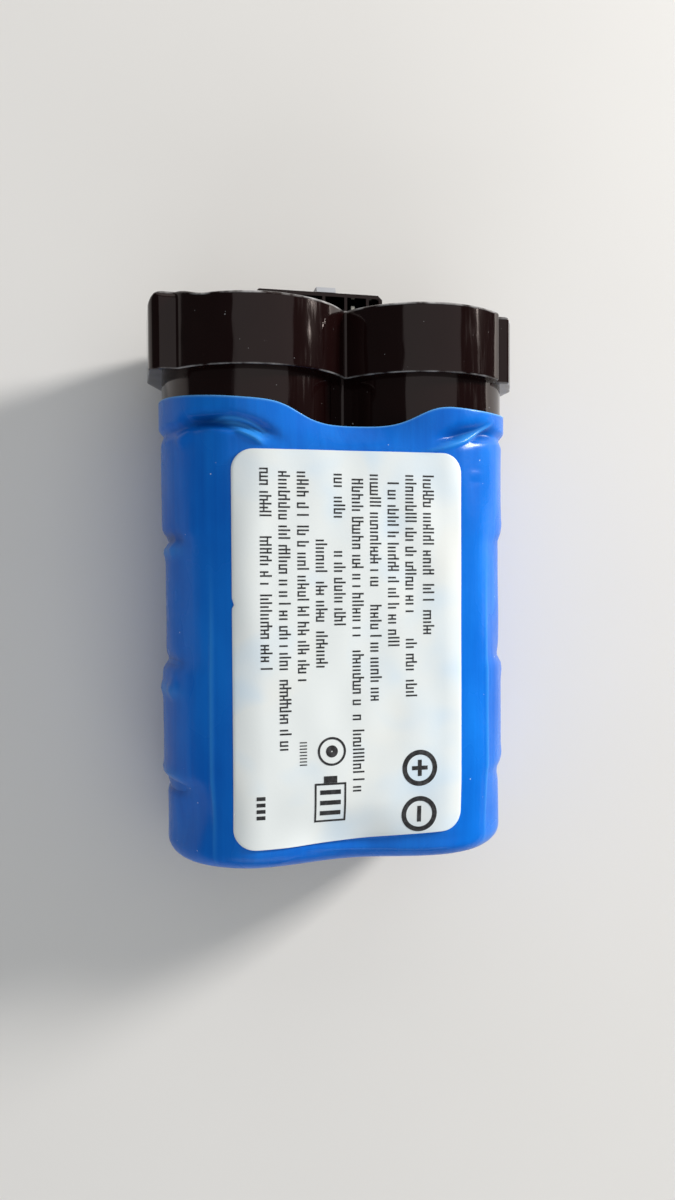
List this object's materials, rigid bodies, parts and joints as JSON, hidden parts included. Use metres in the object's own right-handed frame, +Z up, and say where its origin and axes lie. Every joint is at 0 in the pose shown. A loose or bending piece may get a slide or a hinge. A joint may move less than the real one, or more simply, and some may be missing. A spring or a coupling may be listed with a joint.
{
  "type": "lithium-ion battery pack",
  "caption": "Flat pack of cylindrical cells side by side in a blue shrunk film sleeve, with a plain label and a black lobed end cap with guide ribs and a terminal block.",
  "frame": {"origin": "under the middle of the whole pack, at its lowest height, with the pack lying on its back", "axes": "+X across both cells, +Y along the cells towards the end cap, +Z up, out of the label"},
  "size_m": [0.0524, 0.0788, 0.0279],
  "materials": {
    "sleeve_film": "glossy heat-shrunk PVC film",
    "label_film": "satin printed polyester label",
    "cap_plastic": "polished black moulding",
    "clip_plastic": "pale grey moulding",
    "contact_plating": "bright nickel plating",
    "can_steel": "nickel-plated drawn steel",
    "nickel_sheet": "rolled nickel sheet",
    "electrode_roll": "wound electrode foils",
    "wrap_film": "thin shrunk cell sleeve",
    "gasket_plastic": "natural polypropylene",
    "bracket_plastic": "black moulded holder",
    "card": "vulcanised insulating paper",
    "board_laminate": "green solder mask on glass laminate",
    "chip_epoxy": "moulded epoxy",
    "chip_ceramic": "fired ceramic with tinned ends",
    "foam": "closed-cell foam",
    "lead_insulation": "thin insulated wire"
  },
  "bodies": {
    "root": {"shrink_sleeve": "sleeve_film", "label": "label_film", "cap_shell": "cap_plastic", "terminal_block": "cap_plastic", "coding_clip": "clip_plastic", "contact_positive": "contact_plating", "contact_identity": "contact_plating", "contact_thermistor": "contact_plating", "contact_negative": "contact_plating", "cell_a_can": "can_steel", "cell_a_electrode_roll": "electrode_roll", "cell_a_gasket": "gasket_plastic", "cell_a_positive_cap": "nickel_sheet", "cell_a_wrap": "wrap_film", "cell_a_insulating_ring": "card", "cell_b_can": "can_steel", "cell_b_electrode_roll": "electrode_roll", "cell_b_gasket": "gasket_plastic", "cell_b_positive_cap": "nickel_sheet", "cell_b_wrap": "wrap_film", "cell_b_insulating_ring": "card", "bracket_lower": "bracket_plastic", "bracket_upper": "bracket_plastic", "link_strip": "nickel_sheet", "tab_positive": "nickel_sheet", "tab_negative": "nickel_sheet", "bottom_card": "card", "top_card": "card", "tap_strip": "nickel_sheet", "tap_insulation": "card", "foam_spacer": "foam", "protection_board": "board_laminate", "mosfet_charge": "chip_epoxy", "mosfet_discharge": "chip_epoxy", "protection_ic": "chip_epoxy", "sense_resistor": "chip_ceramic", "chip_fuse": "chip_ceramic", "capacitor_supply": "chip_ceramic", "capacitor_cell": "chip_ceramic", "capacitor_output": "chip_ceramic", "thermistor_bead": "chip_epoxy", "thermistor_lead_1": "lead_insulation", "thermistor_lead_2": "lead_insulation"}
  },
  "joints": []
}
